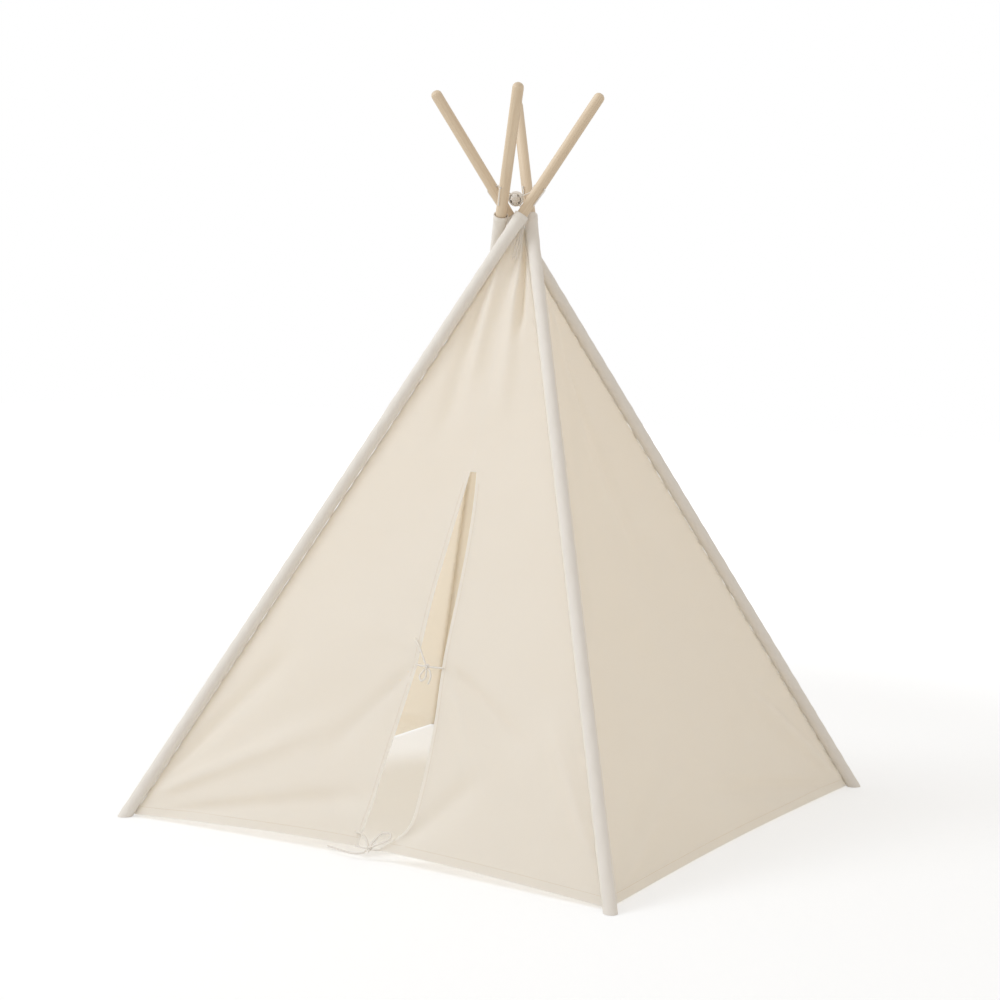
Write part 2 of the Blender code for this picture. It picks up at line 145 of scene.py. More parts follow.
class Finish:
    """A material under construction: its tree and its Principled shader."""

    def __init__(self, name, roughness):
        self.material = bpy.data.materials.new(name)
        self.material.use_nodes = True
        self.tree = self.material.node_tree
        self.shader = self.tree.nodes["Principled BSDF"]
        self.shader.inputs["Roughness"].default_value = roughness

    def node(self, kind, settings, values, output=0):
        """A shader node with its settings and its sockets' values or links."""
        made = self.tree.nodes.new("ShaderNode" + kind)
        for name, value in settings.items():
            if name == "stops":
                for stop, (place, colour) in zip(made.color_ramp.elements, value):
                    stop.position, stop.color = place, colour
            else:
                setattr(made, name, value)
        for key, value in values.items():
            self.feed(made.inputs[key], value)
        return Wire(self, made.outputs[output])

    def feed(self, socket, value):
        if isinstance(value, Wire):
            self.tree.links.new(value.socket, socket)
        elif isinstance(value, tuple) and socket.type == "RGBA":
            socket.default_value = (*value[:3], 1)
        else:
            socket.default_value = value

    def paint(self, name, value):
        self.feed(self.shader.inputs[name], value)

    def mix(self, share, one, other):
        """One colour at 0, the other at 1."""
        return self.node("Mix", {"data_type": "RGBA"}, {0: share, 6: one, 7: other}, 2)

    def joined(self, x, y, z):
        return self.node("CombineXYZ", {}, {0: x, 1: y, 2: z})

    def noise(self, place, scale, detail=3.0, roughness=0.55):
        values = {"Vector": place, "Scale": scale, "Detail": detail, "Roughness": roughness}
        return self.node("TexNoise", {}, values)

    def bump(self, height, distance, strength=1.0):
        normal = self.node("Bump", {}, {"Height": height, "Distance": distance, "Strength": strength})
        self.paint("Normal", normal)


PINE_LIGHT, PINE_MIDDLE, PINE_DARK = (0.76, 0.62, 0.45), (0.67, 0.52, 0.36), (0.52, 0.38, 0.24)
END_GRAIN, END_DEPTH = (0.58, 0.46, 0.33), 0.0045
RING_PITCH = 0.0034


def pine(name, pole, heart):
    """Straight-grained pine along one pole; heart is how far the tree's own middle lies from the pole's."""
    wood = Finish(name, 0.55)
    place = wood.node("TexCoord", {}, {}, 3)
    offset = wood.node("VectorMath", {"operation": "SUBTRACT"}, {0: place, 1: tuple(pole.foot)})
    out, hinge, up = (wood.node("VectorMath", {"operation": "DOT_PRODUCT"}, {0: offset, 1: tuple(way)}, 1)
                      for way in (pole.out, pole.hinge, pole.up))
    sway = wood.noise(wood.joined(out, hinge, up * 0.5), 7.0, 2.0) * 0.012
    from_heart = ((out + heart[0] + sway)**2 + (hinge + heart[1] + sway)**2)**0.5
    rings = ((from_heart * (2 * pi / RING_PITCH)).wave() * 0.5 + 0.5)**2
    fibre = wood.noise(wood.joined(out * 900, hinge * 900, up * 22), 1.0, 4.0, 0.6)
    streak = wood.noise(wood.joined(out * 160, hinge * 160, up * 2.4), 1.0, 3.0)
    length_tone = wood.noise(wood.joined(out * 6, hinge * 6, up * 4), 1.0, 2.0)
    colour = wood.mix(rings * 0.55, PINE_LIGHT, PINE_MIDDLE)
    colour = wood.mix(streak.step(0.50, 0.78) * 0.40, colour, PINE_MIDDLE)
    colour = wood.mix(fibre.step(0.56, 0.80) * 0.30, colour, PINE_DARK)
    colour = wood.mix(length_tone.step(0.35, 0.75) * 0.25, colour, PINE_LIGHT)
    top = POLE_TOP_HEIGHT / cos(lean)
    colour = wood.mix(up.step(top - END_DEPTH, top - END_DEPTH / 4.5) * 0.6, colour, END_GRAIN)
    wood.paint("Base Color", colour)
    wood.paint("Roughness", fibre * 0.16 + 0.46)
    wood.bump(fibre * 0.6 + rings * 0.4, 0.00025, 0.6)
    return wood.material


HEARTS = ((0.019, 0.007), (-0.011, 0.021), (0.006, -0.024), (-0.022, -0.009))
steel = Finish("drawn_steel", 0.34)
steel.paint("Metallic", 1.0)
steel_place = steel.node("TexCoord", {}, {}, 3)
steel_lines = steel.noise(steel_place, 900.0, 2.0)
steel.paint("Base Color", steel.mix(steel_lines, (0.52, 0.52, 0.54), (0.66, 0.66, 0.67)))
steel.paint("Roughness", steel_lines * 0.15 + 0.28)
for corner, pole, heart in zip(CORNERS, poles, HEARTS):
    wood = pine(f"pine_{corner}", pole, heart)
    for length in ("lower", "upper"):
        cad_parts[f"pole_{length}_{corner}"].material_slots[0].material = wood
    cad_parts[f"pole_dowel_{corner}"].material_slots[0].material = steel.material

# Canvas
# One undyed, plain woven cotton canvas, a little slubby, makes the walls, hems and pockets. The light
# that comes through the walls warms the inside. On top of that, the inner faces carry painted warm light:
# the same cloth with a warmer colour and a warmer glow there. The weave follows the cloth's own flat
# measure.
CANVAS_LIGHT, CANVAS_SHADE = (0.975, 0.985, 0.99), (0.95, 0.95, 0.94)
# The inner faces' colours and glow are the canvas painted warmer: painted warm light, not a different cloth.
INSIDE_PAINTED_WARM_LIGHT, INSIDE_PAINTED_WARM_SHADE = (0.985, 0.915, 0.80), (0.97, 0.885, 0.75)
POCKET_LIGHT, POCKET_SHADE = (0.87, 0.82, 0.75), (0.82, 0.76, 0.68)
OUTSIDE_GLOW, INSIDE_PAINTED_WARM_GLOW = (0.985, 0.985, 0.98), (0.985, 0.905, 0.78)
WEAVE_PITCH = 0.0009
GLOW_SHARE = 0.62
WALL_CRUMPLE, POCKET_CRUMPLE = 1.6, 2.6


def cotton(name, light, shade, crumple, glow=None):
    """Woven canvas with slubs, mottling and soft creases; glow is the colour that light takes through it."""
    cloth = Finish(name, 0.92)
    flat = cloth.node("UVMap", {"uv_map": "cloth"}, {})
    u, v = (cloth.node("SeparateXYZ", {}, {0: flat}, way) for way in (0, 1))
    weft = cloth.noise(cloth.joined(u * 26, v * 700, 0.0), 1.0, 2.0)
    warp = cloth.noise(cloth.joined(u * 700, v * 26, 3.0), 1.0, 2.0)
    weave = (u * (2 * pi / WEAVE_PITCH)).wave() * (v * (2 * pi / WEAVE_PITCH)).wave()
    slub = weft.step(0.52, 0.80) * 0.5 + warp.step(0.54, 0.82) * 0.5
    mottle = cloth.noise(cloth.joined(u, v, 1.0), 5.0, 4.0)
    colour = cloth.mix(slub * 0.45 + mottle.step(0.35, 0.75) * 0.35, light, shade)
    cloth.paint("Base Color", colour)
    cloth.paint("Roughness", slub * 0.06 + 0.88)
    soft = cloth.noise(cloth.joined(u, v, 2.0), 7.0, 3.0, 0.45)
    crease = cloth.noise(cloth.joined(u + mottle * 0.05, v - mottle * 0.05, 4.0), 26.0, 3.0, 0.5)
    height = weave * 0.05 + (weft + warp) * 0.10 + soft * crumple + crease * crumple * 0.25
    cloth.bump(height, 0.0016, 0.8)
    cloth.shader.inputs["Sheen Weight"].default_value = 0.12
    cloth.shader.inputs["Sheen Roughness"].default_value = 0.5
    if glow:
        through = cloth.tree.nodes.new("ShaderNodeBsdfTranslucent")
        through.inputs["Color"].default_value = (*glow, 1)
        both = cloth.tree.nodes.new("ShaderNodeMixShader")
        both.inputs[0].default_value = GLOW_SHARE
        cloth.tree.links.new(cloth.shader.outputs[0], both.inputs[1])
        cloth.tree.links.new(through.outputs[0], both.inputs[2])
        cloth.tree.links.new(both.outputs[0], cloth.tree.nodes["Material Output"].inputs["Surface"])
    return cloth.material


canvas_outside = cotton("canvas_outside", CANVAS_LIGHT, CANVAS_SHADE, WALL_CRUMPLE, OUTSIDE_GLOW)
# Inner faces: the same canvas with painted warm light in its colour and glow.
canvas_inside_painted_warm = cotton("canvas_inside_painted_warm", INSIDE_PAINTED_WARM_LIGHT, INSIDE_PAINTED_WARM_SHADE, WALL_CRUMPLE, INSIDE_PAINTED_WARM_GLOW)
pocket_canvas = cotton("pocket_canvas", POCKET_LIGHT, POCKET_SHADE, POCKET_CRUMPLE)

WALLS = ("front", "right", "back", "left")
CANVAS = 0.0012
WALL_TOP_HEIGHT = 1.312
WALL_INSET = 0.008
HEM_HEIGHT = 0.004
FRONT_HEM_LIFT = 0.018
BELLY_DEPTH = 0.014
GATHER_DEPTH, GATHER_COUNT, GATHER_BAND = 0.0040, 3, 0.34
DRAPE_DEPTH, DRAPE_REACH, DRAPE_COUNT = 0.006, 0.62, 7
POCKET_SLACK, POCKET_CLOTH = 0.0005, 0.0016
POCKET_RADIUS = POLE_DIAMETER / 2 + POCKET_SLACK + POCKET_CLOTH
POCKET_TOP_HEIGHT = 1.338
POCKET_MOUTH_DIAMETER = 0.033
POCKET_FLARE_LENGTH = 0.10
SEAM_GROOVE, SEAM_GROOVE_REACH = 0.0036, 0.0065
# The larger soft folds of each wall: from (x, z) to (x, z) on the wall, then spread and depth. The front
# and right walls' are the photograph's.
FOLDS = {
    0: ((0.012, 1.290, 0.055, 1.070, 0.010, -0.0065), (-0.032, 1.240, -0.032, 0.960, 0.022, 0.0040),
        (-0.061, 1.160, -0.070, 0.830, 0.030, -0.0040), (0.010, 1.230, 0.062, 0.900, 0.026, 0.0040),
        (-0.565, 0.048, -0.147, 0.253, 0.030, 0.0050), (-0.550, 0.085, -0.300, 0.380, 0.030, -0.0050),
        (-0.515, 0.020, 0.010, 0.120, 0.026, -0.0040), (0.024, 0.388, -0.150, 0.185, 0.024, -0.0034),
        (0.020, 0.415, -0.169, 0.460, 0.030, 0.0014), (0.118, 0.350, 0.285, 0.140, 0.028, 0.0026),
        (0.100, 0.385, 0.340, 0.240, 0.030, -0.0045), (0.020, 0.030, -0.195, 0.170, 0.030, 0.0016),
        (0.100, 0.040, 0.250, 0.190, 0.030, -0.0040), (0.560, 0.060, 0.360, 0.330, 0.030, 0.0040)),
    1: ((0.022, 1.180, -0.084, 0.700, 0.030, 0.0035), (-0.005, 1.090, 0.030, 0.560, 0.034, -0.0040),
        (0.560, 0.030, 0.250, 0.300, 0.032, 0.0050), (-0.533, 0.030, -0.101, 0.190, 0.034, 0.0045),
        (-0.150, 0.900, -0.350, 0.440, 0.030, -0.0035), (0.520, 0.020, -0.080, 0.110, 0.030, -0.0040)),
    2: ((0.015, 1.180, 0.070, 0.640, 0.032, -0.0040), (-0.550, 0.050, -0.160, 0.270, 0.034, 0.0050),
        (0.545, 0.040, 0.170, 0.180, 0.034, -0.0045), (-0.010, 1.200, -0.090, 0.760, 0.026, 0.0035)),
    3: ((-0.010, 1.190, -0.060, 0.700, 0.030, 0.0040), (0.010, 1.150, 0.080, 0.620, 0.030, -0.0035),
        (0.550, 0.060, 0.200, 0.330, 0.034, 0.0050), (-0.540, 0.030, -0.120, 0.150, 0.034, 0.0045)),
}


def ease(t):
    t = np.clip(t, 0, 1)
    return t * t * (3 - 2 * t)


def wall_width(k, z):
    return (poles[(k + 1) % 4].at_height(z) - poles[k].at_height(z)).length


def edge_share(k, z):
    """How much of the wall's width the pocket takes at each side."""
    across = (poles[(k + 1) % 4].at_height(z) - poles[k].at_height(z)).normalized()
    reach = sqrt((POCKET_RADIUS + CANVAS / 2)**2 - (WALL_INSET + SEAM_GROOVE)**2)
    flare = POCKET_MOUTH_DIAMETER / 2 - POCKET_RADIUS
    reach += flare * max(0, 1 - (POCKET_TOP_HEIGHT - z) / (POCKET_FLARE_LENGTH * cos(lean)))**2
    return reach / across.cross(poles[k].up).length / wall_width(k, z)


def drape(k, share, z):
    """How far the canvas stands out from flat: belly, gathers under the crossing, folds from the feet."""
    middle = sin(pi * min(1, max(0, share)))
    belly = -BELLY_DEPTH * middle * (1 - ease((z - CROSSING_HEIGHT / 2) / (CROSSING_HEIGHT / 2)))
    fade = ease(1 - (WALL_TOP_HEIGHT - z) / GATHER_BAND)
    gathers = GATHER_DEPTH * fade * cos(GATHER_COUNT * 2 * pi * share) * middle**4
    width = wall_width(k, z)
    folds = 0
    for x in (share * width, (1 - share) * width):
        reach = hypot(x, z)
        angle = atan2(z, x)
        window = ease(reach / (DRAPE_REACH / 3)) * ease(2 - 2 * reach / DRAPE_REACH)
        folds += DRAPE_DEPTH * window * sin(DRAPE_COUNT * angle + k) * sin(2 * angle)
    return belly + gathers + folds * middle


PUCKER_DEPTH, PUCKER_REACH = 0.0013, 0.028
PUCKER_PITCH, PUCKER_FINE_PITCH = 0.041, 0.0265
FOLD_GAIN = 2.4


def creases(k, share, z):
    """The wall's larger folds, the pucker at its pocket seams and the furrow along each of them."""
    width = wall_width(k, z)
    x = (share - 0.5) * width
    total = 0
    for x0, z0, x1, z1, spread, depth in FOLDS[k]:
        ax, az = x1 - x0, z1 - z0
        length = hypot(ax, az)
        t = ((x - x0) * ax + (z - z0) * az) / length**2
        off = ((x - x0) * az - (z - z0) * ax) / length
        wide = spread * (0.40 + 0.60 * min(1, max(0, t)))
        fade = ease(t * 3.2 + 0.25) * ease((1.12 - t) * 2.6)
        total += FOLD_GAIN * depth * np.exp(-(off / wide)**2) * fade
    side = min(share, 1 - share) * width
    pull = np.exp(-(side / PUCKER_REACH)**2)
    waves = sin(z * 2 * pi / PUCKER_PITCH + 2 * k) + 0.6 * sin(z * 2 * pi / PUCKER_FINE_PITCH + side * 60)
    total += PUCKER_DEPTH * pull * waves
    middle = sin(pi * min(1, max(0, share)))
    sewn = max(0, (share if share < 0.5 else 1 - share) - edge_share(k, z)) * width
    groove = SEAM_GROOVE * np.exp(-(sewn / SEAM_GROOVE_REACH)**2)
    return total * min(1, middle * 6) - groove


def wall_frame(k, share, z):
    left, right = poles[k].at_height(z), poles[(k + 1) % 4].at_height(z)
    rise = (poles[k].up / poles[k].up.z).lerp(poles[(k + 1) % 4].up / poles[(k + 1) % 4].up.z, share)
    outward = (right - left).cross(rise).normalized()
    return left.lerp(right, share) - outward * WALL_INSET, outward, rise


def on_wall(k, share, z, off=0, detail=True):
    """A point at height z on the draped canvas, off metres in front of it."""
    flat, outward, rise = wall_frame(k, share, z)
    depth = drape(k, share, z) + (creases(k, share, z) if detail else 0)
    place = flat + outward * (depth + off)
    return place + rise * (z - place.z)


HEM_BAND, HEM_STEP = 0.020, 0.0006
HEM_EDGE = 0.06
ROW_STEP = 0.0062
HARD_EDGE = radians(50)


def heights(low, high):
    """Row heights up a wall, closer at the hem's stitched edge."""
    rows = set(np.linspace(low, high, ceil((high - low) / ROW_STEP)).round(5))
    rows |= {round(low + HEM_BAND * share, 5) for share in (1 - HEM_EDGE, 1.0, 1 + HEM_EDGE)}
    return sorted(rows)


def hem_step(z):
    """The extra thickness of the turned hem at height z."""
    return HEM_STEP * (1 - ease((z - HEM_HEIGHT - HEM_BAND * (1 - HEM_EDGE)) / (HEM_BAND * HEM_EDGE * 2)))


def cloth_sheet(name, points, flat, extra, outside, inside):
    """A sheet of canvas through a grid of points, with its flat places and the hems' extra thickness."""
    p = np.array(points)
    rows, columns = p.shape[:2]
    du, dv = np.gradient(p, axis=1), np.gradient(p, axis=0)
    normal = np.cross(du, dv)
    normal /= np.linalg.norm(normal, axis=2, keepdims=True)
    thick = (CANVAS / 2 + np.array(extra))[..., None]
    front, back = p + normal * thick, p - normal * thick
    verts = np.concatenate([front.reshape(-1, 3), back.reshape(-1, 3)])
    uv = np.array(flat).reshape(-1, 2)
    index = np.arange(rows * columns).reshape(rows, columns)
    a, b, c, d = index[:-1, :-1], index[:-1, 1:], index[1:, 1:], index[1:, :-1]
    quads = np.stack([a, b, c, d], axis=-1).reshape(-1, 4)
    rim = np.concatenate([index[0, :], index[1:, -1], index[-1, -2::-1], index[-2::-1, 0]])
    after = np.roll(rim, -1)
    count = rows * columns
    edge = np.stack([rim + count, after + count, after, rim], axis=-1)[:-1]
    faces = np.concatenate([quads, quads[:, ::-1] + count, edge])
    mesh = bpy.data.meshes.new(name)
    mesh.from_pydata(verts.tolist(), [], faces.tolist())
    mesh.materials.append(outside)
    mesh.materials.append(inside)
    which = np.zeros(len(faces), dtype=np.int32)
    which[len(quads):2 * len(quads)] = 1
    mesh.polygons.foreach_set("material_index", which)
    chart = mesh.uv_layers.new(name="cloth")
    chart.data.foreach_set("uv", uv[faces.reshape(-1) % count].reshape(-1))
    mesh.shade_smooth()
    mesh.set_sharp_from_angle(angle=HARD_EDGE)
    sheet = bpy.data.objects.new(name, mesh)
    bpy.context.scene.collection.objects.link(sheet)
    return sheet


START_PACE = 0.28


def spread(start, end, count):
    """Shares from start to end, closer together at the start, where the cloth is sewn to its pocket."""
    steps = np.linspace(0, 1, count)
    return [start + (end - start) * t * (START_PACE + (1 - START_PACE) * t) for t in steps]


def flat_area(flat):
    """The cloth's area before it was hung, from its flat places."""
    f = np.array(flat)
    one, two = f[1:, 1:] - f[:-1, :-1], f[1:, :-1] - f[:-1, 1:]
    return float(np.abs(one[..., 0] * two[..., 1] - one[..., 1] * two[..., 0]).sum() / 2)


wall_slope = sqrt(1 + (FOOT_SPACING / 2 / CROSSING_HEIGHT)**2)
PLAIN_COLUMNS = 46
MEETING, SLIT_CLEARANCE = 0.00004, 0.0003
canvas_pieces = {}

# Plain walls
# The right, back and left walls hang between two pockets, hemmed along the floor. Each is drawn as two
# halves that fold at its middle when the poles are gathered, and they meet there without a gap when it
# stands.
for k in (1, 2, 3):
    for side in ("left", "right"):
        rows = heights(HEM_HEIGHT, WALL_TOP_HEIGHT)
        points, flat, extra = [], [], []
        for z in rows:
            edge, width = edge_share(k, z), wall_width(k, z)
            inner = 0.5 - MEETING / width
            band = hem_step(z)
            shares = spread(edge, inner, PLAIN_COLUMNS)
            if side == "right":
                shares = [1 - share for share in reversed(shares)]
            points.append([tuple(on_wall(k, share, z)) for share in shares])
            flat.append([((share - 0.5) * width + k, z * wall_slope) for share in shares])
            extra.append([band] * PLAIN_COLUMNS)
        wall = WALLS[k]
        sheet = cloth_sheet(f"canvas_{wall}_{side}", points, flat, extra, canvas_outside, canvas_inside_painted_warm)
        canvas_pieces[wall, side] = (sheet, flat_area(flat))

# Door wall
# The front wall is two panels sewn together above the slit. Below, each panel's corner is a door flap
# with a narrow hem along the slit.
# The slit at falling heights: where its left edge is and how far the right flap hangs from that.
SLIT_HEIGHTS = (1.312, 0.77, 0.712, 0.62, 0.50, 0.372, 0.246, 0.124, 0.053, 0)
SLIT_LEFTS = (0, 0.0245, 0.0222, 0.0183, 0.0160, 0.0205, 0.0150, 0.0075, 0.0030, -0.0010)
SLIT_WIDTHS = (0, 0.016, 0.0300, 0.047, 0.060, 0.065, 0.089, 0.108, 0.103, 0.046)
SLIT_TOP = SLIT_HEIGHTS[1]
FLAP_FOLD_FROM_FOOT = 0.11
SLIT_HEM, SLIT_HEM_COLUMNS = 0.011, 6
FLAP_BEND = 0.040


def across_share(x, z):
    return 0.5 + x / wall_width(0, z)


def through(z, heights, values):
    """The value at height z of a smooth curve through a table of falling heights."""
    last = len(heights) - 1
    i = max(j for j in range(last) if heights[j] >= z or j == 0)
    span = heights[i + 1] - heights[i]
    t = (z - heights[i]) / span
    slopes = [(values[min(j + 1, last)] - values[max(j - 1, 0)]) * span
              / (heights[min(j + 1, last)] - heights[max(j - 1, 0)]) for j in (i, i + 1)]
    return (values[i] + (values[i + 1] - values[i]) * ease(t) + slopes[0] * t * (1 - t)**2
            - slopes[1] * t * t * (1 - t))


def slit_x(z):
    """The slit's left edge, and above the slit the seam that joins the two front panels."""
    if z >= SLIT_TOP:
        return SLIT_LEFTS[1] * (SLIT_HEIGHTS[0] - z) / (SLIT_HEIGHTS[0] - SLIT_TOP)
    return through(z, SLIT_HEIGHTS[1:], SLIT_LEFTS[1:])


def slit_width(z):
    """How far the right flap's edge hangs from the left one's."""
    return through(z, SLIT_HEIGHTS[1:], SLIT_WIDTHS[1:]) if z < SLIT_TOP else 0


def front_place(share, z, off=0, detail=True):
    """A point of the door wall, whose hem rises between the poles."""
    return on_wall(0, share, z + FRONT_HEM_LIFT * sin(pi * share) * (1 - z / WALL_TOP_HEIGHT), off, detail)


FRONT_COLUMNS = 58
slit_rows = [SLIT_TOP + shift for shift in (-0.0002, 0.0002)]
for side in ("left", "right"):
    rows = sorted(heights(HEM_HEIGHT, WALL_TOP_HEIGHT) + slit_rows)
    points, flat, extra = [], [], []
    for z in rows:
        edge, width = edge_share(0, z), wall_width(0, z)
        open_here = z < SLIT_TOP
        free = across_share(slit_x(z) + (slit_width(z) if side == "right" else 0), z)
        free -= (1 if side == "left" else -1) * (SLIT_CLEARANCE if open_here else MEETING) / width
        start = edge if side == "left" else 1 - edge
        hem = min(SLIT_HEM / width, abs(free - start) / 3)
        near_hem = free + (hem if side == "right" else -hem)
        shares = spread(start, near_hem, FRONT_COLUMNS - SLIT_HEM_COLUMNS)
        shares += list(np.linspace(near_hem, free, SLIT_HEM_COLUMNS + 1)[1:])
        band = hem_step(z)
        edge_step = HEM_STEP if open_here else 0.0
        edging = [0.0] * (FRONT_COLUMNS - SLIT_HEM_COLUMNS) + [edge_step] * SLIT_HEM_COLUMNS
        if side == "right":
            shares, edging = shares[::-1], edging[::-1]
        points.append([tuple(front_place(share, z)) for share in shares])
        flat.append([((share - 0.5) * width, z * wall_slope) for share in shares])
        extra.append([max(band, more) for more in edging])
    sheet = cloth_sheet(f"canvas_front_{side}", points, flat, extra, canvas_outside, canvas_inside_painted_warm)
    canvas_pieces["front", side] = (sheet, flat_area(flat))

slit_head = front_place(across_share(slit_x(SLIT_TOP), SLIT_TOP), SLIT_TOP, detail=False)


def flap_fold(side):
    """Where a flap's fold starts and ends: square to the fold line, over the width of the bend."""
    foot_x = (wall_width(0, HEM_HEIGHT) / 2 - FLAP_FOLD_FROM_FOOT) * (-1 if side == "left" else 1)
    foot = front_place(across_share(foot_x, HEM_HEIGHT), HEM_HEIGHT, detail=False)
    line = (slit_head - foot).normalized()
    middle = front_place(across_share(slit_x(0), HEM_HEIGHT), HEM_HEIGHT, detail=False)
    way = middle - foot
    way = (way - line * way.dot(line)).normalized()
    return foot, foot + way * FLAP_BEND


# Pockets
# Each corner pocket is a sleeve of the same canvas round its pole, closed and flat on the floor. Its
# hemmed mouth above the crossing is square-cut and wider than the pole.
POCKET_FLOOR = 0.002
POCKET_TURNS = 40
MOUTH_HEM, MOUTH_HEM_STEP = 0.014, 0.0005
POCKET_WAVE = 0.00030
INNER_DEPTHS = (0, 0.02, 0.05, 0.1)
FLOOR_CLEARANCE = 0.0001
pocket_top = POCKET_TOP_HEIGHT / cos(lean)
POCKET_STEP = 0.0075


def pocket_skin(pole, number, along, angle, inner):
    """A point of the pocket: loose, softly puckered along its seams, flared at its mouth."""
    flare = max(0, 1 - (pocket_top - along) / POCKET_FLARE_LENGTH)**2
    radius = POCKET_RADIUS + (POCKET_MOUTH_DIAMETER / 2 - POCKET_RADIUS) * flare
    if inner:
        return pole.ring(along, radius - POCKET_CLOTH, angle)
    waves = sin(along * 2 * pi / 0.043 + 3 * angle + number) + 0.7 * sin(along * 2 * pi / 0.071 - 2 * angle)
    slack = POCKET_WAVE * waves * ease((pocket_top - along) / 0.05)
    radius += slack * 0.9 - 0.0004
    if pocket_top - along < MOUTH_HEM:
        radius += MOUTH_HEM_STEP
    return pole.ring(along, radius, angle)


for number, (corner, pole) in enumerate(zip(CORNERS, poles)):
    low = -POCKET_RADIUS * sin(lean) / cos(lean)
    runs = list(np.linspace(low, pocket_top - MOUTH_HEM - 0.0004, ceil((pocket_top - low) / POCKET_STEP)))
    runs += [pocket_top - MOUTH_HEM + 0.0004, pocket_top - 0.005, pocket_top]
    angles = np.linspace(0, 2 * pi, POCKET_TURNS, endpoint=False)
    inner_low = (POCKET_FLOOR + (POLE_DIAMETER / 2 + POCKET_SLACK) * sin(lean)) / cos(lean)
    rings = []
    for along in runs:
        ring = []
        for angle in angles:
            place = pocket_skin(pole, number, along, angle, False)
            if place.z < FLOOR_CLEARANCE:
                place += pole.up * ((FLOOR_CLEARANCE - place.z) / pole.up.z)
            ring.append(place)
        rings.append(ring)
    for along in (*(pocket_top - depth for depth in INNER_DEPTHS), inner_low):
        rings.append([pocket_skin(pole, number, along, angle, True) for angle in angles])
    shape = bmesh.new()
    chart = shape.loops.layers.uv.new("cloth")
    grid = [[shape.verts.new(place) for place in ring] for ring in rings]
    for i, (one, two) in enumerate(zip(grid, grid[1:])):
        for j in range(POCKET_TURNS):
            n = (j + 1) % POCKET_TURNS
            face = shape.faces.new((one[j], one[n], two[n], two[j]))
            for loop, (s, t) in zip(face.loops, ((i, j), (i, j + 1), (i + 1, j + 1), (i + 1, j))):
                loop[chart].uv = (t * 2 * pi * POCKET_RADIUS / POCKET_TURNS + 8 + number, s * POCKET_STEP)
    shape.faces.new(reversed(grid[0]))
    shape.faces.new(grid[-1])
    bmesh.ops.remove_doubles(shape, verts=shape.verts, dist=0.00001)
    bmesh.ops.recalc_face_normals(shape, faces=shape.faces)
    mesh = bpy.data.meshes.new(f"canvas_pocket_{corner}")
    shape.to_mesh(mesh)
    shape.free()
    mesh.materials.append(pocket_canvas)
    mesh.shade_smooth()
    mesh.set_sharp_from_angle(angle=HARD_EDGE)
    pocket = bpy.data.objects.new(f"canvas_pocket_{corner}", mesh)
    bpy.context.scene.collection.objects.link(pocket)
    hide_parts(f"pocket_{corner}")
    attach(pocket, f"pole_{corner}")

# Stitching
# Lockstitch in cotton thread, a little darker than the cloth, holds every hem and each side of a wall. A
# stitch is a short straight thread, and the tree sets them along each seam's line at an even pitch.
STITCH_PITCH, STITCH_LENGTH, STITCH_THICKNESS = 0.0040, 0.0030, 0.00055
thread = Finish("sewing_thread", 0.8)
thread_place = thread.node("TexCoord", {}, {}, 3)
thread_tone = thread.noise(thread_place, 420.0, 2.0)
thread.paint("Base Color", thread.mix(thread_tone, (0.86, 0.80, 0.72), (0.74, 0.67, 0.58)))
thread.bump(thread_tone, 0.0002)


def stitch_tree():
    """Geometry nodes that sew stitches along every edge line of a mesh."""
    tree = bpy.data.node_groups.new("sew_stitches", "GeometryNodeTree")
    tree.interface.new_socket("Geometry", in_out="INPUT", socket_type="NodeSocketGeometry")
    for name in ("Pitch", "Length", "Thickness"):
        tree.interface.new_socket(name, in_out="INPUT", socket_type="NodeSocketFloat")
    tree.interface.new_socket("Geometry", in_out="OUTPUT", socket_type="NodeSocketGeometry")
    made = {}
    for label, kind in (("start", "NodeGroupInput"), ("line", "GeometryNodeMeshToCurve"),
                        ("space", "GeometryNodeResampleCurve"), ("bead", "GeometryNodeMeshCylinder"),
                        ("tangent", "GeometryNodeInputTangent"),
                        ("turn", "FunctionNodeAlignRotationToVector"),
                        ("set", "GeometryNodeInstanceOnPoints"), ("real", "GeometryNodeRealizeInstances"),
                        ("smooth", "GeometryNodeSetShadeSmooth"), ("dress", "GeometryNodeSetMaterial"),
                        ("end", "NodeGroupOutput")):
        made[label] = tree.nodes.new(kind)
    made["space"].mode = "LENGTH"
    made["turn"].axis = "Z"
    made["bead"].inputs["Vertices"].default_value = 6
    made["dress"].inputs["Material"].default_value = thread.material
    join = tree.links.new
    join(made["start"].outputs["Geometry"], made["line"].inputs[0])
    join(made["line"].outputs[0], made["space"].inputs["Curve"])
    join(made["start"].outputs["Pitch"], made["space"].inputs["Length"])
    join(made["start"].outputs["Thickness"], made["bead"].inputs["Radius"])
    join(made["start"].outputs["Length"], made["bead"].inputs["Depth"])
    join(made["tangent"].outputs[0], made["turn"].inputs["Vector"])
    join(made["space"].outputs[0], made["set"].inputs["Points"])
    join(made["bead"].outputs[0], made["set"].inputs["Instance"])
    join(made["turn"].outputs[0], made["set"].inputs["Rotation"])
    join(made["set"].outputs[0], made["real"].inputs[0])
    join(made["real"].outputs[0], made["smooth"].inputs[0])
    join(made["smooth"].outputs[0], made["dress"].inputs[0])
    join(made["dress"].outputs[0], made["end"].inputs[0])
    return tree


sewing = stitch_tree()


